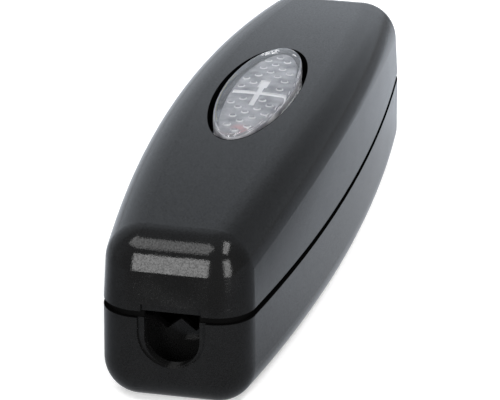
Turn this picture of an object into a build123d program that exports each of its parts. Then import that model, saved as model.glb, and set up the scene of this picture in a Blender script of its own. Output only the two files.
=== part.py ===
from build123d import *
import math
import os

# Inline cord dimmer, in millimetres.
# +X runs along the cord, +Z is up, and the origin lies under the middle of the flat base.

# Housing form
length = 104.0              # end face to end face, at the seam
width = 28.2                # across the middle, at the seam
end_width = 21.2            # across the end faces, before the corners are rounded
height = 28.9               # crest of the cover
end_height = 25.4           # cover at the end faces, before the edge is rounded
seam_height = 14.25         # middle of the groove between the cover and the base
seam_gap = 1.1
wall = 2.0
edge_radius = 5.7           # upright corners, edges of the roof and edge of the floor
straight_end = 9.0          # end of the cover that runs on straight
cover_draft = 3.0           # degrees
base_setback = 0.12         # base behind the cover, all round
inner_bevel = 2.0           # inside the rounded edges of the floor and the roof

# Lip on the base that stands in a rebate of the cover
lip_setback = 0.8
lip_thickness = 0.8
lip_height = 1.8
lip_clearance = 0.1

# Cord entries in the two end faces
entry_width = 8.1
entry_depth = 7.2           # from the edge of the base down
recess_side = 0.95          # wider than the entry, on each side
recess_below = 0.15         # deeper than the entry
recess_depth = 0.6          # into the end face
notch_width = 8.9           # in the cover, above the entry
notch_height = 1.05
stop_gap = 0.5              # between the cover's stop and the sides of the entry

# Toothed strain relief ribs in the base
rib_setback = 7.0           # end face to the middle of the rib
rib_thickness = 1.6
tooth_pitch = 4.26
tooth_drop = 2.2            # edge of the base to the peaks
tooth_depth = 1.7

# Cord clamps, each a bar on two bosses
clamp_gap = 1.2             # between the rib and the bar
clamp_width = 5.0
clamp_side_gap = 1.1        # between the bar's ends and the walls
clamp_thickness = 3.0
clamp_seat_drop = 1.2       # edge of the base to the top of the bosses
clamp_tooth_depth = 1.0
clamp_tooth_width = 2.0
clamp_screw_edge = 2.1      # end of the bar to the middle of its screw
clamp_boss_size = 4.6
clamp_screw_diameter = 2.2
clamp_screw_length = 9.0
clamp_head_size = 3.6       # across its flats
clamp_head_height = 1.6

# Housing screws, driven up from below into columns of the cover
boss_gap = 0.6              # between the clamp bar and the screw boss
screw_diameter = 2.9
screw_length = 16.0
screw_head_diameter = 5.2
screw_head_height = 2.2
screw_head_room = 0.4       # between the head and its counterbore
screw_seat = 4.4            # underside of the base to the seat of the head
boss_wall = 1.3
screw_clearance = 0.15      # between a shank and the plain hole that it passes
thread_clearance = 0.05     # between a shank and the hole that it bites into
slot_width = 0.8
slot_depth = 0.9
cross_length = 3.6

# Circuit board
board_standoff = 3.2        # cavity floor to the underside of the board
board_thickness = 1.6
board_clearance = 0.5       # between the board and whatever is beside it
board_post_size = 3.6
board_post_inset = 3.2      # board edges to the middle of each post
hook_length = 4.0
hook_thickness = 1.1
hook_overhang = 0.5
hook_nose = 1.4
hook_clearance = 0.05
part_gap = 0.8              # between neighbours on the board
lead_size = 0.6
lead_clearance = 0.06
lead_tail = 1.0             # below the board

# Push button
button_half_length = 18.2
button_half_width = 5.4
button_gap = 0.7            # between the button and the hole in the cover
button_stand = 0.8          # above the cover, all along it
button_chamfer = 0.3
button_wall = 1.3
button_roof = 3.2           # at its two ends
button_travel = 0.8
collar_depth = 2.4
collar_wall = 1.2
flange_overlap = 0.9        # under the collar
flange_thickness = 1.0
button_rib_thickness = 1.0
button_rib_depth = 0.8
button_rib_length = 10.4
button_rib_gap = 0.3        # between the cross rib and the skirt
stem_size = 3.2

# Push switch under the button
switch_x = 2.5
switch_size = 6.0
switch_body_height = 3.6
switch_plate_thickness = 0.3
switch_height = 13.5        # board to the tip of the plunger
plunger_size = 3.2
plunger_flange_size = 4.4
plunger_flange_thickness = 0.6
plunger_clearance = 0.15
plunger_lift_gap = 0.05     # between the plunger's flange and the cover plate

# Indicator lamp under the button
led_x = -11.0
led_diameter = 3.0
led_height = 4.6
led_lead_pitch = 2.0
spacer_height = 10.5
spacer_size = 3.8

# Terminal blocks at the two ends of the board
terminal_edge = 0.5         # board end to the block
terminal_depth = 8.0
terminal_pitch = 7.4
terminal_wall = 1.0
terminal_roof = 3.6
clamp_block_width = 5.0
clamp_block_depth = 5.6
clamp_block_height = 6.4
clamp_block_clearance = 0.1
wire_way_size = 3.2
wire_way_height = 2.5       # board to the middle of the way
wire_mouth_size = 4.2
terminal_screw_diameter = 3.0
terminal_screw_length = 4.6
terminal_screw_bite = 2.0   # below the top of the brass clamp
terminal_hole_room = 0.2

# Components on the board
choke_diameter = 3.2
choke_length = 11.5
choke_stand = 0.4           # board to the winding
winding_thickness = 0.7
winding_length = 9.0
winding_clearance = 0.08
triac_width = 8.0
triac_thickness = 3.2
triac_height = 10.8
triac_stand = 2.2
triac_lead_pitch = 2.3
film_thickness = 5.5
film_length = 13.0
film_height = 11.0
film_lead_pitch = 10.0
can_diameter = 5.0
can_height = 11.0
can_lead_pitch = 2.0
fuse_length = 8.5
fuse_thickness = 4.0
fuse_height = 8.0
fuse_lead_pitch = 5.0
chip_length = 5.0
chip_width = 3.9
chip_height = 1.5
chip_pin_pitch = 1.27
chip_pin_width = 0.4
chip_pin_length = 0.9
chip_pin_height = 0.7
resistor_diameter = 2.4
resistor_length = 6.4
resistor_stand = 0.5
resistor_lead_pitch = 2.5


def arc_radius(half_chord, rise):
    """Radius of the arc over a chord with the given rise."""
    return (half_chord ** 2 + rise ** 2) / (2 * rise)


side_rise = (width - end_width) / 2
crown_rise = height - end_height
side_radius = arc_radius(length / 2, side_rise)
crown_radius = arc_radius(length / 2, crown_rise)

# The cover's section turns about a slanted axis, so that side and roof curve alike, and runs on straight
turn_rise = math.hypot(side_rise, crown_rise)
turn_radius = arc_radius(length / 2, turn_rise)
turn_angle = math.degrees(math.asin((length / 2 - straight_end) / turn_radius))
turn_axis = Axis(
    (0, width / 2 - turn_radius * side_rise / turn_rise, seam_height - turn_radius * crown_rise / turn_rise),
    (0, crown_rise, -side_rise),
)


def side_at(x, inset):
    """Half the width of the housing at x, inset from its outer side."""
    return width / 2 - side_radius + math.sqrt((side_radius - inset) ** 2 - x ** 2)


def crown_at(x):
    """Height of the cover's outer surface along its middle."""
    return height - crown_radius + math.sqrt(crown_radius ** 2 - x ** 2)


# Levels and places that follow from the sizes above
base_edge = seam_height - seam_gap / 2
cover_edge = seam_height + seam_gap / 2
lip_top = cover_edge + lip_height
rib_x = length / 2 - rib_setback
tooth_peak = base_edge - tooth_drop
entry_bottom = base_edge - entry_depth
recess_width = entry_width + 2 * recess_side
recess_bottom = entry_bottom - recess_below
clamp_x = rib_x - rib_thickness / 2 - clamp_gap - clamp_width / 2
clamp_seat = base_edge - clamp_seat_drop
clamp_half_length = side_at(clamp_x + clamp_width / 2, base_setback + wall) - clamp_side_gap
clamp_screw_y = clamp_half_length - clamp_screw_edge
counterbore_diameter = screw_head_diameter + 2 * screw_head_room
foot_size = counterbore_diameter + 2 * boss_wall
screw_hole_diameter = screw_diameter + 2 * screw_clearance
column_size = screw_hole_diameter + 2 * boss_wall
screw_x = clamp_x - clamp_width / 2 - boss_gap - foot_size / 2
board_end = screw_x - foot_size / 2 - board_clearance
board_bottom = wall + board_standoff
board_top = board_bottom + board_thickness
board_bevel_room = max(0, wall + inner_bevel - board_bottom)
board_side = side_at(board_end, base_setback + wall) - board_bevel_room - board_clearance
terminal_x = board_end - terminal_edge - terminal_depth / 2
terminal_inner = terminal_x - terminal_depth / 2
collar_bottom = height - wall - collar_depth
flange_bottom = collar_bottom - flange_thickness
hole_half_length = button_half_length + button_gap
hole_half_width = button_half_width + button_gap
plunger_top = board_top + switch_height
lead_hole_size = lead_size + 2 * lead_clearance

# Places of the components, packed from the board's edges and the terminal blocks
row_edge = board_side - hook_overhang - part_gap
winding_bore = choke_diameter + 2 * winding_clearance
winding_outer = winding_bore + 2 * winding_thickness
choke_x = -(terminal_inner - part_gap - choke_length / 2)
choke_y = row_edge - winding_outer / 2
triac_x = -(terminal_inner - part_gap - triac_width / 2)
triac_y = -(row_edge - triac_thickness / 2)
film_x = terminal_inner - part_gap - film_thickness / 2
can_x = film_x - film_thickness / 2 - part_gap - can_diameter / 2
can_y = -(row_edge - can_diameter / 2)
fuse_x = film_x - film_thickness / 2 - part_gap - fuse_length / 2
fuse_y = row_edge - fuse_thickness / 2
resistor_x = can_x - can_diameter / 2 - part_gap - resistor_diameter / 2
resistor_y = -(row_edge - resistor_diameter / 2)
chip_x = switch_x - switch_size / 2 - part_gap - chip_length / 2


def block(x, y, size_x, size_y, low, high):
    """Box around x and y between two heights."""
    return Pos(x, y, (low + high) / 2) * Box(size_x, size_y, high - low)


def post(x, y, diameter, low, high):
    """Upright cylinder between two heights."""
    return Pos(x, y, (low + high) / 2) * Cylinder(diameter / 2, high - low)


def stud(x, y, across, low, high, sides=8):
    """Upright bar or hole with flat sides."""
    outline = RegularPolygon(across / 2, sides, major_radius=False)
    return extrude(Pos(x, y, low) * outline, amount=high - low, dir=(0, 0, 1))


def oval(half_length, half_width, low, high):
    """Upright elliptical cylinder between two heights."""
    return extrude(Pos(0, 0, low) * Ellipse(half_length, half_width), amount=high - low)


def bar_along_x(profile, x, size_x):
    """Bar along the cord with a profile given as (y, z) points."""
    face = make_face(Polyline(*profile, close=True))
    return extrude(Plane.YZ.offset(x - size_x / 2) * face, amount=size_x, dir=(1, 0, 0))


def lead_pair(x, y, pitch_x, pitch_y):
    """Places of two leads around a component's middle."""
    return [(x - pitch_x / 2, y - pitch_y / 2), (x + pitch_x / 2, y + pitch_y / 2)]


def leads(places, top):
    """Square leads that run from a component down through the board."""
    return [block(x, y, lead_size, lead_size, board_bottom - lead_tail, top) for x, y in places]


# Where each component's leads pass the board
led_leads = lead_pair(led_x, 0, led_lead_pitch, 0)
triac_leads = [(triac_x + step * triac_lead_pitch, triac_y) for step in (-1, 0, 1)]
film_leads = lead_pair(film_x, 0, 0, film_lead_pitch)
can_leads = lead_pair(can_x, can_y, can_lead_pitch, 0)
fuse_leads = lead_pair(fuse_x, fuse_y, fuse_lead_pitch, 0)
resistor_leads = [(resistor_x, resistor_y), (resistor_x - resistor_lead_pitch, resistor_y)]
winding_leads = lead_pair(choke_x, choke_y, winding_length - lead_size, 0)
terminal_places = [(end * terminal_x, side * terminal_pitch / 2) for end in (-1, 1) for side in (-1, 1)]
board_posts = [
    (end * (board_end - board_post_inset), side * (board_side - board_post_inset))
    for end in (-1, 1)
    for side in (-1, 1)
]
clamp_places = [(end * clamp_x, side * clamp_screw_y) for end in (-1, 1) for side in (-1, 1)]


# Housing outline and forms

def plan(inset):
    """Barrel-shaped outline with rounded corners, inset from the outer edge."""
    end = length / 2 - inset
    side = side_at(end, inset)
    middle = width / 2 - inset
    outline = make_face([
        ThreePointArc((end, side), (0, middle), (-end, side)),
        Line((-end, side), (-end, -side)),
        ThreePointArc((-end, -side), (0, -middle), (end, -side)),
        Line((end, -side), (end, side)),
    ])
    return fillet(outline.vertices(), edge_radius - inset)


def cover_section(inset):
    """Half of the cover's middle section."""
    side = width / 2 - inset
    top = height - inset
    lean = math.tan(math.radians(cover_draft)) * (top - seam_height)
    outline = Polyline((-side, seam_height), (side, seam_height), (side - lean, top), (-side, top), close=True)
    return make_face(outline)


def roof_corner(section):
    """Corner of the section at the roof's long edge."""
    return section.vertices().group_by(Axis.Y)[-1].sort_by(Axis.X)[-1]


def turned(section):
    """Middle stretch of the upper form, for a section."""
    return revolve(Plane.YZ * section, turn_axis, 2 * turn_angle).rotate(turn_axis, -turn_angle)


def straight_run(section, end, inset):
    """Straight stretch of the upper form beyond the turn, up to the leaning end face."""
    face = (Plane.YZ * section).rotate(turn_axis, end * turn_angle)
    plot = Plane.XY.offset(seam_height) * Rectangle(length - 2 * inset, 4 * width)
    ends = extrude(plot, amount=2 * height, dir=(0, 0, 1), taper=cover_draft)
    return extrude(face, amount=2 * end * straight_end) & ends


def both_sides(form):
    """The +Y half of a form, and its mirror image."""
    half = form & block(0, width, 2 * length, 2 * width, 0, 2 * height)
    return half + mirror(half, Plane.XZ)


def base_walls(inset):
    """Lower half over a flat floor."""
    at_seam = Plane.XY.offset(seam_height) * plan(base_setback + inset)
    return extrude(at_seam, amount=seam_height - inset, dir=(0, 0, -1))


def floor_edges(form):
    """Edges round the floor of a form."""
    return form.faces().sort_by(Axis.Z)[0].edges()


def slab(low, high):
    """Block wider than the housing between two heights."""
    return block(0, 0, 2 * length, 2 * width, low, high)


def entry_form(end, slot_width, bottom, depth):
    """Upright slot with a round bottom, cut into one end from its face to a depth."""
    middle = bottom + slot_width / 2
    x = end * (length / 2 - depth / 2 + wall / 2)
    size_x = depth + wall
    tunnel = Pos(x, 0, middle) * Rot(0, 90, 0) * Cylinder(slot_width / 2, size_x)
    return tunnel + block(x, 0, size_x, slot_width, middle, lip_top + wall)


# Cover: arched upper shell with the button's hole and guide collar

def cover_outside():
    """Outside of the cover, with the three edges that meet at each corner rounded alike."""
    section = cover_section(0)
    half = turned(fillet(roof_corner(section), edge_radius))
    for end in (-1, 1):
        run = straight_run(section, end, 0)
        tip = run.vertices().sort_by(lambda vertex: end * vertex.X + vertex.Y + vertex.Z)[-1]
        half += fillet(run.edges().sort_by_distance(tip)[:3], edge_radius)
    return both_sides(half) - slab(0, cover_edge)


def cover_inside():
    """Room inside the cover, bevelled under the roof's long edges."""
    section = chamfer(roof_corner(cover_section(wall)), inner_bevel)
    half = turned(section)
    for end in (-1, 1):
        half += straight_run(section, end, wall)
    return both_sides(half)


def cover_rebate():
    """Room for the base's lip, with a stop left beside each cord entry."""
    rebate = extrude(plan(lip_setback - lip_clearance), amount=lip_top + lip_clearance, dir=(0, 0, 1))
    stop_width = entry_width - 2 * stop_gap
    for end in (-1, 1):
        rebate -= block(end * length / 2, 0, 4 * wall, stop_width, 0, height)
    return rebate


def make_upper_housing():
    shell = cover_outside() - cover_inside() - cover_rebate()
    collar_half_length = hole_half_length + collar_wall
    collar_width = 2 * (hole_half_width + collar_wall)
    collar_top = crown_at(collar_half_length) - wall / 2
    shell += block(0, 0, 2 * collar_half_length, collar_width, collar_bottom, collar_top)
    shell -= oval(hole_half_length, hole_half_width, 0, 2 * height)
    pilot = screw_diameter + 2 * thread_clearance
    for end in (-1, 1):
        x = end * screw_x
        notch_x = end * (length / 2 - recess_depth / 2 + wall / 2)
        shell += stud(x, 0, column_size, base_edge, crown_at(screw_x) - wall / 2)
        shell -= stud(x, 0, pilot, base_edge, screw_seat + screw_length + thread_clearance)
        shell -= block(notch_x, 0, recess_depth + wall, notch_width, cover_edge, cover_edge + notch_height)
    return shell


# Base: lower shell with the cord entries, strain relief ribs, bosses and board posts

def toothed_rib(end):
    """Cross rib with pointed teeth that grip the cord from below."""
    profile = [(-width / 2, 0), (-width / 2, tooth_peak)]
    for step in range(-2, 3):
        level = tooth_peak - tooth_depth * (step % 2)
        profile.append((step * tooth_pitch / 2, level))
    profile += [(width / 2, tooth_peak), (width / 2, 0)]
    return bar_along_x(profile, end * rib_x, rib_thickness)


def board_hook(side):
    """Springy hook whose sloped nose holds down one long edge of the board."""
    inner = side * (board_side + hook_clearance)
    outer = inner + side * hook_thickness
    nose = inner - side * hook_overhang
    level = board_top + hook_clearance
    profile = [
        (outer, 0),
        (outer, level + hook_nose),
        (inner, level + hook_nose),
        (nose, level + hook_clearance),
        (nose, level),
        (inner, level),
        (inner, 0),
    ]
    return bar_along_x(profile, 0, hook_length)


def base_outside():
    """Outside of the base, with a rounded floor edge."""
    return fillet(floor_edges(base_walls(0)), edge_radius - base_setback) - slab(base_edge, 2 * height)


def base_posts():
    """Screw bosses, clamp bosses and board posts, rooted in the floor of the base."""
    root = wall / 2
    posts = []
    for end in (-1, 1):
        posts.append(stud(end * screw_x, 0, foot_size, root, screw_seat + boss_wall))
        posts.append(stud(end * screw_x, 0, column_size, root, base_edge))
    for x, y in clamp_places:
        posts.append(block(x, y, clamp_boss_size, clamp_boss_size, root, clamp_seat))
    for x, y in board_posts:
        posts.append(block(x, y, board_post_size, board_post_size, root, board_bottom))
    return posts


def make_lower_housing():
    shell = base_outside() - chamfer(floor_edges(base_walls(wall)), inner_bevel)
    lip = plan(lip_setback) - plan(lip_setback + lip_thickness)
    shell += extrude(Plane.XY.offset(base_edge) * lip, amount=lip_top - base_edge, dir=(0, 0, 1))
    for end in (-1, 1):
        shell -= entry_form(end, recess_width, recess_bottom, recess_depth)
        shell -= entry_form(end, entry_width, entry_bottom, 2 * wall)
    core = chamfer(floor_edges(base_walls(wall / 2)), inner_bevel + wall / 2)
    for fitting in (toothed_rib(-1), toothed_rib(1), board_hook(-1), board_hook(1)):
        shell += fitting & core
    shell += base_posts()
    for end in (-1, 1):
        shell -= post(end * screw_x, 0, counterbore_diameter, 0, screw_seat)
        shell -= stud(end * screw_x, 0, screw_hole_diameter, 0, base_edge)
    pilot = clamp_screw_diameter + 2 * thread_clearance
    pilot_bottom = clamp_seat + clamp_thickness - clamp_screw_length - thread_clearance
    for x, y in clamp_places:
        shell -= stud(x, y, pilot, pilot_bottom, clamp_seat)
    return shell


# Push button: arched clear oval with a skirt on a retaining plate, cross ribs and a stem

def make_push_button():
    arch = Pos(0, 0, height - crown_radius) * Rot(90, 0, 0) * Cylinder(crown_radius + button_stand, 2 * width)
    button = oval(button_half_length, button_half_width, collar_bottom, 2 * height) & arch
    button = chamfer(button.faces().sort_by(Axis.Z)[-1].edges(), button_chamfer)
    flange_length = 2 * (hole_half_length + flange_overlap)
    flange_width = 2 * (hole_half_width + flange_overlap)
    button += block(0, 0, flange_length, flange_width, flange_bottom, collar_bottom)
    ceiling = crown_at(button_half_length) + button_stand - button_roof
    inner_half_length = button_half_length - button_wall
    inner_half_width = button_half_width - button_wall
    button -= oval(inner_half_length, inner_half_width, flange_bottom, ceiling)
    cavity_top = ceiling + button_roof / 2
    rib_low = ceiling - button_rib_depth
    rib_span = 2 * (inner_half_width - button_rib_gap)
    button += block(0, 0, button_rib_thickness, rib_span, rib_low, cavity_top)
    button += block(0, 0, button_rib_length, button_rib_thickness, rib_low, cavity_top)
    button += block(switch_x, 0, stem_size, stem_size, plunger_top, cavity_top)
    return button


# Push switch: base, cover plate and plunger

switch_body_top = board_top + switch_body_height
plunger_flange_top = switch_body_top - plunger_lift_gap


def make_switch_base():
    cavity_depth = plunger_flange_thickness + button_travel + 2 * plunger_clearance
    body = block(switch_x, 0, switch_size, switch_size, board_top, switch_body_top)
    cavity = plunger_flange_size + 2 * plunger_clearance
    return body - block(switch_x, 0, cavity, cavity, switch_body_top - cavity_depth, switch_body_top)


def make_switch_plate():
    plate_top = switch_body_top + switch_plate_thickness
    plate = block(switch_x, 0, switch_size, switch_size, switch_body_top, plate_top)
    hole = plunger_size + 2 * plunger_clearance
    return plate - block(switch_x, 0, hole, hole, switch_body_top, plate_top)


def make_switch_plunger():
    flange_low = plunger_flange_top - plunger_flange_thickness
    flange = block(switch_x, 0, plunger_flange_size, plunger_flange_size, flange_low, plunger_flange_top)
    return flange + block(switch_x, 0, plunger_size, plunger_size, flange_low, plunger_top)


# Circuit board with a hole for every lead

def make_circuit_board():
    board = block(0, 0, 2 * board_end, 2 * board_side, board_bottom, board_top)
    places = led_leads + triac_leads + film_leads + can_leads
    places = places + fuse_leads + resistor_leads + winding_leads + terminal_places
    for x, y in places:
        board -= block(x, y, lead_hole_size, lead_hole_size, board_bottom, board_top)
    return board


# Indicator lamp on a spacer

def make_indicator_led():
    low = board_top + spacer_height
    return post(led_x, 0, led_diameter, low, low + led_height) + leads(led_leads, low)


def make_led_spacer():
    spacer = block(led_x, 0, spacer_size, spacer_size, board_top, board_top + spacer_height)
    for x, y in led_leads:
        spacer -= block(x, y, lead_hole_size, lead_hole_size, board_top, board_top + spacer_height)
    return spacer


# Terminal blocks with brass clamps and their screws

clamp_block_top = board_top + clamp_block_height
terminal_top = clamp_block_top + clamp_block_clearance + terminal_roof
terminal_screw_low = clamp_block_top - terminal_screw_bite


def make_terminal_block(end):
    block_width = terminal_pitch + clamp_block_width + 2 * (clamp_block_clearance + terminal_wall)
    body = block(end * terminal_x, 0, terminal_depth, block_width, board_top, terminal_top)
    pocket_top = clamp_block_top + clamp_block_clearance
    pocket_depth = clamp_block_depth + 2 * clamp_block_clearance
    pocket_width = clamp_block_width + 2 * clamp_block_clearance
    screw_hole = terminal_screw_diameter + 2 * terminal_hole_room
    mouth_low = board_top + wire_way_height - wire_mouth_size / 2
    for side in (-1, 1):
        x = end * terminal_x
        y = side * terminal_pitch / 2
        mouth_x = x + end * terminal_depth / 2
        body -= block(x, y, pocket_depth, pocket_width, board_top, pocket_top)
        body -= stud(x, y, screw_hole, pocket_top, terminal_top)
        body -= block(mouth_x, y, terminal_depth, wire_mouth_size, mouth_low, mouth_low + wire_mouth_size)
    return body


def make_terminal_clamps():
    clamps = []
    way_low = board_top + wire_way_height - wire_way_size / 2
    way_top = way_low + wire_way_size
    thread = terminal_screw_diameter + 2 * thread_clearance
    for x, y in terminal_places:
        clamp = block(x, y, clamp_block_depth, clamp_block_width, board_top, clamp_block_top)
        clamp -= block(x, y, clamp_block_depth, wire_way_size, way_low, way_top)
        clamp -= stud(x, y, thread, way_top, clamp_block_top)
        clamps.append(clamp + leads([(x, y)], way_low))
    return Compound(children=clamps)


def make_terminal_screws():
    """Headless screws with a slot."""
    screws = []
    high = terminal_screw_low + terminal_screw_length
    for x, y in terminal_places:
        shank = stud(x, y, terminal_screw_diameter, terminal_screw_low, high)
        screws.append(shank - block(x, y, slot_width, terminal_screw_diameter, high - slot_depth, high))
    return Compound(children=screws)


# Cord clamps and their screws

def make_cord_clamp(end):
    """Bar with a row of teeth below that presses the cord onto the toothed rib."""
    low = clamp_seat
    high = clamp_seat + clamp_thickness
    half = clamp_half_length
    profile = [(-half, high), (-half, low), (-1.5 * clamp_tooth_width, low)]
    for step in (-1, 0, 1):
        middle = step * clamp_tooth_width
        profile.append((middle, low - clamp_tooth_depth))
        profile.append((middle + clamp_tooth_width / 2, low))
    profile += [(half, low), (half, high)]
    bar = bar_along_x(profile, end * clamp_x, clamp_width)
    hole = clamp_screw_diameter + 2 * screw_clearance
    for x, y in clamp_places:
        bar -= stud(x, y, hole, low, high)
    return bar


def make_cord_clamp_screws():
    """Screws with six-sided heads."""
    screws = []
    seat = clamp_seat + clamp_thickness
    for x, y in clamp_places:
        head = stud(x, y, clamp_head_size, seat, seat + clamp_head_height, 6)
        screws.append(head + stud(x, y, clamp_screw_diameter, seat - clamp_screw_length, seat))
    return Compound(children=screws)


def make_housing_screws():
    """Screws with a cross recess in the head, which faces down."""
    screws = []
    low = screw_seat - screw_head_height
    for end in (-1, 1):
        x = end * screw_x
        head = post(x, 0, screw_head_diameter, low, screw_seat)
        head -= block(x, 0, cross_length, slot_width, low, low + slot_depth)
        head -= block(x, 0, slot_width, cross_length, low, low + slot_depth)
        screws.append(head + stud(x, 0, screw_diameter, screw_seat, screw_seat + screw_length))
    return Compound(children=screws)


# Power and control components

choke_z = board_top + choke_stand + winding_outer / 2


def rod(diameter, rod_length):
    """Cylinder along the cord, at the choke's place."""
    return Pos(choke_x, choke_y, choke_z) * Rot(0, 90, 0) * Cylinder(diameter / 2, rod_length)


def make_choke_core():
    return rod(choke_diameter, choke_length)


def make_choke_winding():
    sleeve = rod(winding_outer, winding_length) - rod(winding_bore, winding_length)
    return sleeve + leads(winding_leads, choke_z - winding_bore / 2 - winding_thickness / 2)


def make_triac():
    low = board_top + triac_stand
    body = block(triac_x, triac_y, triac_width, triac_thickness, low, low + triac_height)
    return body + leads(triac_leads, low)


def make_film_capacitor():
    body = block(film_x, 0, film_thickness, film_length, board_top, board_top + film_height)
    return body + leads(film_leads, board_top)


def make_electrolytic_capacitor():
    return post(can_x, can_y, can_diameter, board_top, board_top + can_height) + leads(can_leads, board_top)


def make_fuse():
    body = block(fuse_x, fuse_y, fuse_length, fuse_thickness, board_top, board_top + fuse_height)
    return body + leads(fuse_leads, board_top)


def make_controller_chip():
    body = block(chip_x, 0, chip_length, chip_width, board_top, board_top + chip_height)
    pin_span = chip_width + 2 * chip_pin_length
    for step in (-1.5, -0.5, 0.5, 1.5):
        x = chip_x + step * chip_pin_pitch
        body += block(x, 0, chip_pin_width, pin_span, board_top, board_top + chip_pin_height)
    return body


def make_resistor():
    """Upright resistor with one lead bent over and down beside it."""
    low = board_top + resistor_stand
    high = low + resistor_length
    body = post(resistor_x, resistor_y, resistor_diameter, low, high)
    bend_x = resistor_x - resistor_lead_pitch / 2
    bend = block(bend_x, resistor_y, resistor_lead_pitch + lead_size, lead_size, high, high + lead_size)
    straight, returned = resistor_leads
    return body + bend + leads([straight], low) + leads([returned], high)


nodes = {
    "upper_housing": make_upper_housing(),
    "lower_housing": make_lower_housing(),
    "push_button": make_push_button(),
    "switch_base": make_switch_base(),
    "switch_plate": make_switch_plate(),
    "switch_plunger": make_switch_plunger(),
    "circuit_board": make_circuit_board(),
    "indicator_led": make_indicator_led(),
    "led_spacer": make_led_spacer(),
    "terminal_block_mains": make_terminal_block(-1),
    "terminal_block_lamp": make_terminal_block(1),
    "terminal_clamps": make_terminal_clamps(),
    "terminal_screws": make_terminal_screws(),
    "cord_clamp_mains": make_cord_clamp(-1),
    "cord_clamp_lamp": make_cord_clamp(1),
    "cord_clamp_screws": make_cord_clamp_screws(),
    "housing_screws": make_housing_screws(),
    "choke_core": make_choke_core(),
    "choke_winding": make_choke_winding(),
    "triac": make_triac(),
    "film_capacitor": make_film_capacitor(),
    "electrolytic_capacitor": make_electrolytic_capacitor(),
    "fuse": make_fuse(),
    "controller_chip": make_controller_chip(),
    "resistor": make_resistor(),
}

os.makedirs("parts", exist_ok=True)
for name, shape in nodes.items():
    export_step(shape, "parts/" + name + ".step")
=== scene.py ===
import math

import bmesh
import bpy
from mathutils import Matrix, Quaternion, Vector


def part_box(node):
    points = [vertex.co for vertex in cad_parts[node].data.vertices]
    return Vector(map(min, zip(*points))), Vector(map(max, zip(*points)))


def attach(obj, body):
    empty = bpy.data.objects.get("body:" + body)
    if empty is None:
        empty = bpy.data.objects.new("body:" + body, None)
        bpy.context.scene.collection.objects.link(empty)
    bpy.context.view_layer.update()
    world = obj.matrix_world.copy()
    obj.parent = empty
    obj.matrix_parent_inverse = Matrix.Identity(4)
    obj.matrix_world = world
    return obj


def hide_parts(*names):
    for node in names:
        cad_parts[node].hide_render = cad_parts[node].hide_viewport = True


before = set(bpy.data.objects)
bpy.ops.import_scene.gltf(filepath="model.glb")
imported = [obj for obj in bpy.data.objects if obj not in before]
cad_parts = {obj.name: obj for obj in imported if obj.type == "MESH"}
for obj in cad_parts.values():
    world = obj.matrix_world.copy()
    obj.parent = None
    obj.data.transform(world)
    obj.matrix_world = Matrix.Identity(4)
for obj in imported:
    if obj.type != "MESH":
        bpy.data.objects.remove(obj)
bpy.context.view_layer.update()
scene = bpy.context.scene
scene.view_settings.view_transform = "Standard"


# Camera at the photograph's viewing angle, in metres and degrees

camera_place = Vector((-0.7088, -0.1735, 0.3180))
camera_turn = -76.151       # about the vertical
camera_tilt = 22.807        # below the horizon
camera_lens = 378.57        # millimetres, as the sensor's width
sensor_width = 36


def make_camera():
    turn = math.radians(camera_turn)
    tilt = math.radians(camera_tilt)
    right = Vector((math.cos(turn), math.sin(turn), 0))
    back = Vector((
        math.sin(turn) * math.cos(tilt),
        -math.cos(turn) * math.cos(tilt),
        math.sin(tilt),
    ))
    axes = Matrix((right, back.cross(right), back)).transposed()
    data = bpy.data.cameras.new("camera")
    data.sensor_width = sensor_width
    data.lens = camera_lens
    camera = bpy.data.objects.new("camera", data)
    camera.matrix_world = Matrix.Translation(camera_place) @ axes.to_4x4()
    scene.collection.objects.link(camera)
    scene.camera = camera


# Shader nodes

white = (1, 1, 1)


def grey(level):
    return (level, level, level)


def opaque(colour):
    return (*colour, 1)


def feed(tree, value, socket):
    """Links a node's output to a socket, or sets the socket to a plain value."""
    if isinstance(value, bpy.types.NodeSocket):
        tree.links.new(value, socket)
    else:
        socket.default_value = value


def maths(tree, operation, *values):
    """Result of an operation on numbers."""
    node = tree.nodes.new("ShaderNodeMath")
    node.operation = operation
    for socket, value in zip(node.inputs, values):
        feed(tree, value, socket)
    return node.outputs[0]


def vector_maths(tree, operation, *values):
    """Node with an operation on places, which gives a Vector or a Value."""
    node = tree.nodes.new("ShaderNodeVectorMath")
    node.operation = operation
    for socket, value in zip(node.inputs, values):
        feed(tree, value, socket)
    return node


def map_range(tree, value, start, end, low=0, high=1, kind="LINEAR"):
    """Number that runs from low to high while a value runs from start to end."""
    node = tree.nodes.new("ShaderNodeMapRange")
    node.interpolation_type = kind
    node.inputs["From Min"].default_value = start
    node.inputs["From Max"].default_value = end
    node.inputs["To Min"].default_value = low
    node.inputs["To Max"].default_value = high
    tree.links.new(value, node.inputs["Value"])
    return node.outputs["Result"]


def mix_colours(tree, share, first, second):
    """Colour between two, by a share from 0 to 1."""
    mix = tree.nodes.new("ShaderNodeMix")
    mix.data_type = "RGBA"
    feed(tree, share, mix.inputs["Factor"])
    feed(tree, first, mix.inputs["A"])
    feed(tree, second, mix.inputs["B"])
    return mix.outputs["Result"]


def object_place(tree):
    """Place on the object's own axes, in metres."""
    return tree.nodes.new("ShaderNodeTexCoord").outputs["Object"]


def along(tree, place, axis):
    """One coordinate of a place."""
    parts = tree.nodes.new("ShaderNodeSeparateXYZ")
    tree.links.new(place, parts.inputs[0])
    return parts.outputs[axis]


def source(socket):
    """Output that feeds a socket."""
    return socket.links[0].from_socket


# Materials, with grain sizes and reliefs in millimetres

per_metre = 1000            # millimetres in a metre
noise_low = 0.3             # most of the noise lies between these two
noise_high = 0.7
fine_detail = 2
broad_detail = 3
broad_grains = 20           # grains across a patch of colour
gloss_drift = 0.04
shine_drift = 0.4           # as a share of the shine

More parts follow.
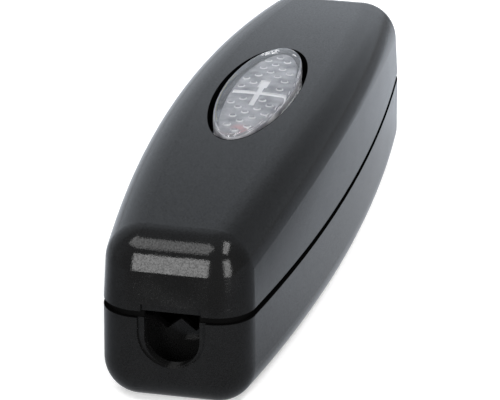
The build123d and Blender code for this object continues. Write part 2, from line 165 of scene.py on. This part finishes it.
lens_tint = (0.95, 0.95, 0.96)
lens_bending = 1.49         # refractive index of acrylic
haze_size = 0.4
haze_low = 0.02             # roughness
haze_high = 0.06

seam_middle = 0.01425       # height of the groove between the two housings, in metres
seam_gap = 0.0011
seam_reach = 0.51 * seam_gap            # half the groove and a hair more
hole_half_length = 0.0189   # oval hole in the cover, in metres
hole_half_width = 0.0061
hole_reach = 1.01           # the oval and a hair more
# painted shade: near-black colour inside the groove and the button's hole
painted_shade_colour = grey(0.0025)


def new_material(name):
    material = bpy.data.materials.new(name)
    material.use_nodes = True
    tree = material.node_tree
    return material, tree, tree.nodes["Principled BSDF"]


def object_noise(tree, size, detail):
    """Noise over the object, with features of a size."""
    noise = tree.nodes.new("ShaderNodeTexNoise")
    noise.inputs["Scale"].default_value = per_metre / size
    noise.inputs["Detail"].default_value = detail
    tree.links.new(object_place(tree), noise.inputs["Vector"])
    return noise.outputs["Fac"]


def spread(tree, noise, low, high):
    """Noise stretched to run between two values."""
    return map_range(tree, noise, noise_low, noise_high, low, high)


def vary_colour(tree, shader, noise, low, high):
    """Base colour that drifts between two colours."""
    drift = mix_colours(tree, spread(tree, noise, 0, 1), opaque(low), opaque(high))
    tree.links.new(drift, shader.inputs["Base Color"])


def add_bump(tree, shader, noise, height):
    """Relief of a height."""
    bump = tree.nodes.new("ShaderNodeBump")
    bump.inputs["Distance"].default_value = height / per_metre
    tree.links.new(noise, bump.inputs["Height"])
    tree.links.new(bump.outputs["Normal"], shader.inputs["Normal"])


def grained(name, low, high, roughness, grain=0.2, relief=0.01, metallic=0, shine=0.5):
    """Solid material whose colour, gloss, shine and relief vary with a fine grain."""
    material, tree, shader = new_material(name)
    fine = object_noise(tree, grain, fine_detail)
    broad = object_noise(tree, broad_grains * grain, broad_detail)
    vary_colour(tree, shader, broad, low, high)
    gloss = spread(tree, broad, roughness - gloss_drift, roughness + gloss_drift)
    tree.links.new(gloss, shader.inputs["Roughness"])
    add_bump(tree, shader, fine, relief)
    shader.inputs["Metallic"].default_value = metallic
    glint = spread(tree, fine, (1 - shine_drift) * shine, (1 + shine_drift) * shine)
    tree.links.new(glint, shader.inputs["Specular IOR Level"])
    return material


def metal(name, low, high, roughness, grain=0.1, relief=0.006):
    """Bare metal with a finer grain."""
    return grained(name, low, high, roughness, grain, relief, metallic=1)


def paint_shade_inside(material):
    """Paints shade inside the groove between the housings and the button's hole: the faces there get no
    shine and a near-black colour.
    """
    tree = material.node_tree
    shine = tree.nodes["Principled BSDF"].inputs["Specular IOR Level"]
    colour = tree.nodes["Principled BSDF"].inputs["Base Color"]
    place = object_place(tree)
    in_seam = maths(tree, "COMPARE", along(tree, place, "Z"), seam_middle, seam_reach)
    oval_scale = (1 / hole_half_length, 1 / hole_half_width, 0)
    share = vector_maths(tree, "MULTIPLY", place, oval_scale).outputs["Vector"]
    reach = vector_maths(tree, "LENGTH", share).outputs["Value"]
    in_hole = maths(tree, "LESS_THAN", reach, hole_reach)
    inside = maths(tree, "MAXIMUM", in_seam, in_hole)
    outside = maths(tree, "SUBTRACT", 1, inside)
    # painted shade: shine taken away and colour darkened inside the groove and the hole
    tree.links.new(maths(tree, "MULTIPLY", source(shine), outside), shine)
    tree.links.new(mix_colours(tree, inside, source(colour), opaque(painted_shade_colour)), colour)


def clear_plastic():
    """Polished clear plastic with a faint haze."""
    material, tree, shader = new_material("clear lens plastic")
    shader.inputs["Base Color"].default_value = opaque(lens_tint)
    shader.inputs["Transmission Weight"].default_value = 1
    shader.inputs["IOR"].default_value = lens_bending
    haze = spread(tree, object_noise(tree, haze_size, fine_detail), haze_low, haze_high)
    tree.links.new(haze, shader.inputs["Roughness"])
    return material


def housing_plastic():
    """Black moulded plastic, with painted shade (no shine, darker colour) inside the groove and the hole."""
    material = grained("black moulded plastic", grey(0.0045), grey(0.0055), 0.1, 0.25, 0.012, shine=0.17)
    paint_shade_inside(material)
    return material


def make_finishes():
    """Material of each slot: name, two colours, roughness, and where they differ grain and relief."""
    return {
        "housing_plastic": housing_plastic(),
        "clear_plastic": clear_plastic(),
        "switch_plastic": grained("switch plastic", (0.02, 0.02, 0.022), (0.03, 0.03, 0.032), 0.5),
        "plunger_plastic": grained("plunger plastic", (0.6, 0.6, 0.58), (0.68, 0.68, 0.66), 0.45),
        "plate_steel": metal("plate steel", (0.55, 0.55, 0.54), (0.66, 0.66, 0.65), 0.3, relief=0.004),
        "board_laminate": grained("board laminate", (0.03, 0.16, 0.06), (0.04, 0.2, 0.08), 0.35, grain=0.4),
        "lamp_plastic": grained("red lamp plastic", (0.5, 0.02, 0.015), (0.62, 0.03, 0.02), 0.2, 0.3, 0.004),
        "spacer_plastic": grained("spacer plastic", (0.55, 0.55, 0.54), (0.62, 0.62, 0.61), 0.5),
        "terminal_plastic": grained("terminal plastic", (0.41, 0.43, 0.46), (0.47, 0.49, 0.52), 0.45),
        "terminal_brass": metal("terminal brass", (0.68, 0.47, 0.2), (0.8, 0.58, 0.27), 0.3),
        "screw_steel": metal("zinc screw steel", (0.58, 0.58, 0.56), (0.72, 0.72, 0.7), 0.28),
        "clamp_plastic": grained("clamp plastic", (0.02, 0.02, 0.022), grey(0.03), 0.5, relief=0.015),
        "core_ferrite": grained("ferrite", (0.03, 0.03, 0.032), grey(0.05), 0.6, 0.15, 0.02),
        "winding_copper": metal("winding copper", (0.6, 0.2, 0.08), (0.72, 0.28, 0.12), 0.3, 0.3, 0.03),
        "epoxy_black": grained("black epoxy", grey(0.012), grey(0.02), 0.55, 0.15, 0.015),
        "film_box": grained("film capacitor box", (0.7, 0.56, 0.09), (0.78, 0.63, 0.11), 0.4),
        "can_aluminium": metal("can aluminium", grey(0.64), grey(0.72), 0.35, grain=0.2),
        "fuse_plastic": grained("fuse plastic", (0.18, 0.09, 0.05), (0.22, 0.11, 0.07), 0.45),
        "resistor_coat": grained("resistor coat", (0.55, 0.42, 0.26), (0.62, 0.48, 0.3), 0.45, relief=0.02),
    }


def finish_nodes(finishes):
    """Gives every node of the frame the material of its slot."""
    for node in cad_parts.values():
        place = node.material_slots[0]
        place.material = finishes[place.material.name]


# Clear push button, in metres: a crowned oval lens over a frosted underside with pips, ribs and a stem

button_low, button_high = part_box("push_button")
lens_crest = button_high.z
lens_half_length = 0.0180
lens_half_width = 0.00525
lens_thickness = 0.0037     # from the crest down to the underside
lens_crown = 0.0003         # crest above the rim, apart from the cover's own curve
cover_curve = 0.389         # radius of the cover along its middle
crown_rings = (0.8, 0.55, 0.3)          # as shares of the lens's size
rim_radius = 0.00045
rim_band = 0.0009           # frosted strip of the outer wall below the rounded rim
rim_steps = 5
lens_wall = 0.0013
flange_top = 0.0245
flange_bottom = 0.0235
flange_square = 12          # fills the flange's oval out to a rounded rectangle
ceiling = lens_crest - lens_thickness
loop_points = 128
sharp_angle = 35            # degrees, above which an edge isn't shaded smooth

pip_pitch = 0.0032
pip_row = 0.0014
pip_rows = 4                # on each side of the row that the grid starts from
pip_columns = 7
pip_radius = 0.00058
pip_depth = 0.0006
pip_points = 14
pip_steps = 4
pip_painted_glint_steps = 2         # steps from the foot of a pip that are white, as a painted glint
pip_x = 0.0006              # place of one pip, which the grid starts from
pip_y = -0.0012
pip_room = 0.0007           # between the middle of a pip and any edge

rib_half = 0.0004
cross_rib_half = 0.0006
rib_depth = 0.0008
cross_rib_reach = 0.0037
long_rib_reach = 0.0048
stem_near = 0.0021
stem_far = 0.0051
stem_half = 0.0007
stem_gap = 0.00002          # between the block on the underside and the shaft below it

frost_detail = 4
frost_roughness = 0.6
frost_patch = 2.5           # millimetres, as the next two
frost_grain = 0.12
frost_relief = 0.02
glow_middle = (-0.0129, -0.0002, ceiling)
glow_radius = 0.0016
glow_colour = (0.55, 0.34, 0.35)

clear, frosted, white_and_painted_glint = range(3)     # places of the button's materials; the white one is the colour of the ribs and stem and a painted glint at the pips' feet

stem_outline = [
    (stem_near, -stem_half),
    (stem_far, -stem_half),
    (stem_far, stem_half),
    (stem_near, stem_half),
]
rib_outline = [
    (-cross_rib_half, -cross_rib_reach),
    (cross_rib_half, -cross_rib_reach),
    (cross_rib_half, -rib_half),
    (stem_near, -rib_half),
    *stem_outline,
    (stem_near, rib_half),
    (cross_rib_half, rib_half),
    (cross_rib_half, cross_rib_reach),
    (-cross_rib_half, cross_rib_reach),
    (-cross_rib_half, rib_half),
    (-long_rib_reach, rib_half),
    (-long_rib_reach, -rib_half),
    (-cross_rib_half, -rib_half),
]


def crown(x, y):
    """Height of the lens's top."""
    out = (x / lens_half_length) ** 2 + (y / lens_half_width) ** 2
    return lens_crest - x ** 2 / (2 * cover_curve) - lens_crown * out


def oval(half_length, half_width, square=2):
    """Places round an oval, which a higher square number fills out to a rectangle."""
    places = []
    for step in range(loop_points):
        turn = 2 * math.pi * (step + 0.5) / loop_points
        across = math.copysign(abs(math.cos(turn)) ** (2 / square), math.cos(turn))
        beside = math.copysign(abs(math.sin(turn)) ** (2 / square), math.sin(turn))
        places.append((half_length * across, half_width * beside))
    return places


def circle(x, y, radius):
    turns = [2 * math.pi * step / pip_points for step in range(pip_points)]
    return [(x + radius * math.cos(turn), y + radius * math.sin(turn)) for turn in turns]


def add_loop(mesh, places, height):
    """Loop of points at one height."""
    return [mesh.verts.new((x, y, height)) for x, y in places]


def add_crowned_loop(mesh, half_length, half_width, drop=0):
    """Oval loop of points on the lens's crowned top or a way below it."""
    return [mesh.verts.new((x, y, crown(x, y) - drop)) for x, y in oval(half_length, half_width)]


def add_face(mesh, corners, finish):
    made = mesh.faces.new(corners)
    made.material_index = finish
    made.smooth = True


def bridge(mesh, loops, finish):
    """Walls from each loop to the next."""
    for first, second in zip(loops, loops[1:]):
        for here in range(len(first)):
            add_face(mesh, (first[here - 1], first[here], second[here], second[here - 1]), finish)


def close_to_point(mesh, loop, tip, finish):
    top = mesh.verts.new(tip)
    for here in range(len(loop)):
        add_face(mesh, (loop[here - 1], loop[here], top), finish)


def fill_between(mesh, loops, finish):
    """Flat surface inside the first loop and outside the others."""
    edges = []
    for loop in loops:
        for here in range(len(loop)):
            edges.append(mesh.edges.get((loop[here - 1], loop[here])))
    made = bmesh.ops.triangle_fill(mesh, edges=edges, use_beauty=True)
    for part in made["geom"]:
        if isinstance(part, bmesh.types.BMFace):
            part.material_index = finish


def add_top(mesh):
    """Outer wall, rounded rim and crowned top; gives the loop at the foot of the wall."""
    foot = add_loop(mesh, oval(lens_half_length, lens_half_width), flange_top)
    band = add_crowned_loop(mesh, lens_half_length, lens_half_width, rim_radius + rim_band)
    bridge(mesh, [foot, band], clear)
    rings = []
    for step in range(rim_steps + 1):
        turn = math.pi / 2 * step / rim_steps
        inset = rim_radius * (1 - math.cos(turn))
        drop = rim_radius * (1 - math.sin(turn))
        rings.append(add_crowned_loop(mesh, lens_half_length - inset, lens_half_width - inset, drop))
    for share in crown_rings:
        rings.append(add_crowned_loop(mesh, share * lens_half_length, share * lens_half_width))
    bridge(mesh, [band, rings[0]], frosted)
    bridge(mesh, rings, clear)
    close_to_point(mesh, rings[-1], (0, 0, crown(0, 0)), clear)
    return foot


def add_skirt(mesh, foot):
    """Flange and inner wall; gives the loop round the underside."""
    flange = oval(button_high.x, button_high.y, flange_square)
    inner = oval(lens_half_length - lens_wall, lens_half_width - lens_wall)
    rings = [
        foot,
        add_loop(mesh, flange, flange_top),
        add_loop(mesh, flange, flange_bottom),
        add_loop(mesh, inner, flange_bottom),
    ]
    edge = add_loop(mesh, inner, ceiling)
    bridge(mesh, rings, clear)
    bridge(mesh, [rings[-1], edge], frosted)
    return edge


def has_room(x, y):
    """Whether a pip is clear of the underside's edge, the ribs and the stem."""
    reach_x = lens_half_length - lens_wall - pip_room
    reach_y = lens_half_width - lens_wall - pip_room
    in_oval = (x / reach_x) ** 2 + (y / reach_y) ** 2 < 1
    on_cross = abs(x) < cross_rib_half + pip_room and abs(y) < cross_rib_reach + pip_room
    on_long = -long_rib_reach - pip_room < x < stem_near and abs(y) < rib_half + pip_room
    on_stem = stem_near - pip_room < x < stem_far + pip_room and abs(y) < stem_half + pip_room
    return in_oval and not (on_cross or on_long or on_stem)


def pip_places():
    """Staggered grid of places on the underside."""
    places = []
    for row in range(-pip_rows, pip_rows + 1):
        for column in range(-pip_columns, pip_columns + 1):
            x = pip_x + (column + row % 2 / 2) * pip_pitch
            y = pip_y + row * pip_row
            if has_room(x, y):
                places.append((x, y))
    return places


def add_pip(mesh, x, y):
    """Round pip that rises into the lens, white at its foot as a painted glint; gives its lower loop."""
    rings = []
    for step in range(pip_steps):
        turn = math.pi / 2 * step / pip_steps
        places = circle(x, y, pip_radius * math.cos(turn))
        rings.append(add_loop(mesh, places, ceiling + pip_depth * math.sin(turn)))
    # painted glint: the lowest steps of the pip are white
    bridge(mesh, rings[:pip_painted_glint_steps + 1], white_and_painted_glint)
    bridge(mesh, rings[pip_painted_glint_steps:], frosted)
    close_to_point(mesh, rings[-1], (x, y, ceiling + pip_depth), frosted)
    return rings[0]


def add_ribs(mesh):
    """Crossed ribs and the block above the shaft, below the underside; gives their upper loop."""
    upper = add_loop(mesh, rib_outline, ceiling)
    lower = add_loop(mesh, rib_outline, ceiling - rib_depth)
    bridge(mesh, [upper, lower], white_and_painted_glint)
    add_face(mesh, lower, white_and_painted_glint)
    return upper


def add_shaft(mesh):
    """Closed shaft below the block, down to the switch."""
    upper = add_loop(mesh, stem_outline, ceiling - rib_depth - stem_gap)
    lower = add_loop(mesh, stem_outline, button_low.z)
    bridge(mesh, [upper, lower], white_and_painted_glint)
    add_face(mesh, upper, white_and_painted_glint)
    add_face(mesh, lower, white_and_painted_glint)


def frosted_plastic(name, low, high):
    """Rough plastic with cloudy patches."""
    material, tree, shader = new_material(name)
    vary_colour(tree, shader, object_noise(tree, frost_patch, frost_detail), low, high)
    shader.inputs["Roughness"].default_value = frost_roughness
    add_bump(tree, shader, object_noise(tree, frost_grain, fine_detail), frost_relief)
    return material


def add_glow(material):
    """Soft red spot where the indicator lamp shows through."""
    tree = material.node_tree
    colour = tree.nodes["Principled BSDF"].inputs["Base Color"]
    away = vector_maths(tree, "DISTANCE", object_place(tree), glow_middle).outputs["Value"]
    share = map_range(tree, away, 0, glow_radius, 1, 0, "SMOOTHSTEP")
    tree.links.new(mix_colours(tree, share, source(colour), opaque(glow_colour)), colour)


def button_mesh():
    mesh = bmesh.new()
    loops = [add_skirt(mesh, add_top(mesh))]
    loops += [add_pip(mesh, x, y) for x, y in pip_places()]
    loops.append(add_ribs(mesh))
    fill_between(mesh, loops, frosted)
    add_shaft(mesh)
    bmesh.ops.recalc_face_normals(mesh, faces=mesh.faces)
    data = bpy.data.meshes.new("button_lens")
    mesh.to_mesh(data)
    mesh.free()
    data.set_sharp_from_angle(angle=math.radians(sharp_angle))
    return data


def make_button(clear_finish):
    underside = frosted_plastic("frosted underside", (0.16, 0.16, 0.18), (0.52, 0.52, 0.54))
    add_glow(underside)
    data = button_mesh()
    data.materials.append(clear_finish)
    data.materials.append(underside)
    # the white material is also a painted glint on the pips' feet
    data.materials.append(frosted_plastic("white ribs", grey(0.9), grey(0.96)))
    button = bpy.data.objects.new("button_lens", data)
    scene.collection.objects.link(button)
    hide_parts("push_button")
    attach(button, "button")


# Studio: white surroundings, soft boxes and a pale floor, in metres and degrees

plain_light = 0.3           # strength of the surroundings' own light
backdrop_axis = (0.791, 0.554, 0.259)   # from the object to the brightest place behind it
backdrop_tint = (0.86, 0.92, 1)
backdrop_levels = [         # share of the way across, from 0 against the axis to 1 along it, and level there
    (0.05, 0.1),
    (0.25, 0.18),
    (0.5, 0.34),
    (0.65, 0.54),
    (0.78, 0.56),
    (0.845, 0.72),
    (0.89, 1),
]

lamp_distance = 1.0
lamp_aim = Vector((-0.05, 0, 0.022))    # the object's near end

floor_front = -0.1
floor_back = 3.0
floor_half_width = 3.0
floor_top = -0.00005        # a hair below the object's underside
floor_colour = grey(0.9)
floor_roughness = 0.9
floor_lift = 0.35           # glow that makes the lit floor white and its shadow pale
painted_shade_deep = (0.017, 0.037, 0.067)       # painted shade that reflections see on the floor to the front and right of the object
painted_shade_faint = (0.36, 0.4, 0.46)          # and the fainter painted shade they see elsewhere
painted_shade_front = (-0.06, 0)                 # x from the deep to the faint painted shade
painted_shade_right = (-0.040, -0.029)           # y from the deep to the faint painted shade


def seen_directly(tree):
    """1 for what the camera, a reflection or a clear piece shows, 0 for plain light."""
    path = tree.nodes.new("ShaderNodeLightPath")
    mirrored = maths(tree, "MAXIMUM", path.outputs["Is Camera Ray"], path.outputs["Is Glossy Ray"])
    return maths(tree, "MAXIMUM", mirrored, path.outputs["Is Transmission Ray"])


def level_ramp(tree, share, levels):
    """Grey that runs through levels at given shares."""
    ramp = tree.nodes.new("ShaderNodeValToRGB")
    stops = ramp.color_ramp.elements
    first, *middle, last = levels
    for stop, (position, level) in zip(stops, (first, last)):
        stop.position = position
        stop.color = opaque(grey(level))
    for position, level in middle:
        stops.new(position).color = opaque(grey(level))
    tree.links.new(share, ramp.inputs["Fac"])
    return ramp.outputs["Color"]


def make_world():
    """Surroundings that are white to the camera, and darker in reflections towards the photographer."""
    world = bpy.data.worlds.new("studio")
    world.use_nodes = True
    scene.world = world
    tree = world.node_tree
    plain = tree.nodes["Background"]
    plain.inputs["Color"].default_value = opaque(white)
    plain.inputs["Strength"].default_value = plain_light
    direction = tree.nodes.new("ShaderNodeTexCoord").outputs["Generated"]
    facing = vector_maths(tree, "DOT_PRODUCT", direction, backdrop_axis).outputs["Value"]
    level = level_ramp(tree, map_range(tree, facing, -1, 1), backdrop_levels)
    to_camera = tree.nodes.new("ShaderNodeLightPath").outputs["Is Camera Ray"]
    tint = mix_colours(tree, to_camera, opaque(backdrop_tint), opaque(white))
    shown = tree.nodes.new("ShaderNodeBackground")
    tree.links.new(tint, shown.inputs["Color"])
    tree.links.new(maths(tree, "MAXIMUM", level, to_camera), shown.inputs["Strength"])
    mix = tree.nodes.new("ShaderNodeMixShader")
    tree.links.new(seen_directly(tree), mix.inputs["Fac"])
    tree.links.new(plain.outputs[0], mix.inputs[1])
    tree.links.new(shown.outputs[0], mix.inputs[2])
    tree.links.new(mix.outputs[0], tree.nodes["World Output"].inputs["Surface"])


def make_lamp(name, azimuth, elevation, wide, high, power, roll=0):
    """Soft box in a direction from the object's near end, with its width and height as angles."""
    turn = math.radians(azimuth)
    rise = math.radians(elevation)
    away = Vector((math.cos(turn) * math.cos(rise), math.sin(turn) * math.cos(rise), math.sin(rise)))
    data = bpy.data.lights.new(name, "AREA")
    data.shape = "RECTANGLE"
    data.size = 2 * lamp_distance * math.tan(math.radians(wide / 2))
    data.size_y = 2 * lamp_distance * math.tan(math.radians(high / 2))
    data.energy = power
    lamp = bpy.data.objects.new(name, data)
    lamp.location = lamp_aim + lamp_distance * away
    lamp.rotation_mode = "QUATERNION"
    lamp.rotation_quaternion = away.to_track_quat("Z", "Y") @ Quaternion((0, 0, 1), math.radians(roll))
    scene.collection.objects.link(lamp)


def make_lamps():
    """Two soft boxes on each side of the camera, one above the other."""
    make_lamp("left low lamp", azimuth=164, elevation=10, wide=17, high=44, power=9.5)
    make_lamp("left high lamp", azimuth=138, elevation=61, wide=30, high=27, power=4.7)
    make_lamp("right low lamp", azimuth=-134, elevation=10, wide=20, high=44, power=9)
    make_lamp("right high lamp", azimuth=-101, elevation=62, wide=38, high=14, power=5.8, roll=25)


def floor_finish():
    """White to the camera, with painted shade that only reflections see, deepest in front of the object and
    on its right.
    """
    material, tree, shader = new_material("white floor")
    shader.inputs["Roughness"].default_value = floor_roughness
    shader.inputs["Specular IOR Level"].default_value = 0
    place = object_place(tree)
    from_front = map_range(tree, along(tree, place, "X"), *painted_shade_front, kind="SMOOTHSTEP")
    from_right = map_range(tree, along(tree, place, "Y"), *painted_shade_right, kind="SMOOTHSTEP")
    share = maths(tree, "MINIMUM", from_front, from_right)
    # painted shade on the floor, seen only in reflections
    pool = mix_colours(tree, share, opaque(painted_shade_deep), opaque(painted_shade_faint))
    mirrored = tree.nodes.new("ShaderNodeLightPath").outputs["Is Glossy Ray"]
    tree.links.new(mix_colours(tree, mirrored, opaque(floor_colour), pool), shader.inputs["Base Color"])
    shader.inputs["Emission Color"].default_value = opaque(white)
    lift = maths(tree, "MULTIPLY", seen_directly(tree), floor_lift)
    tree.links.new(lift, shader.inputs["Emission Strength"])
    return material


def make_floor():
    """Table top that ends a little way in front of the object, so the low lamps shine past it."""
    corners = [
        (floor_front, -floor_half_width, floor_top),
        (floor_back, -floor_half_width, floor_top),
        (floor_back, floor_half_width, floor_top),
        (floor_front, floor_half_width, floor_top),
    ]
    mesh = bpy.data.meshes.new("floor")
    mesh.from_pydata(corners, [], [(0, 1, 2, 3)])
    mesh.materials.append(floor_finish())
    floor = bpy.data.objects.new("floor", mesh)
    scene.collection.objects.link(floor)


make_camera()
finishes = make_finishes()
finish_nodes(finishes)
make_button(finishes["clear_plastic"])
make_world()
make_lamps()
make_floor()
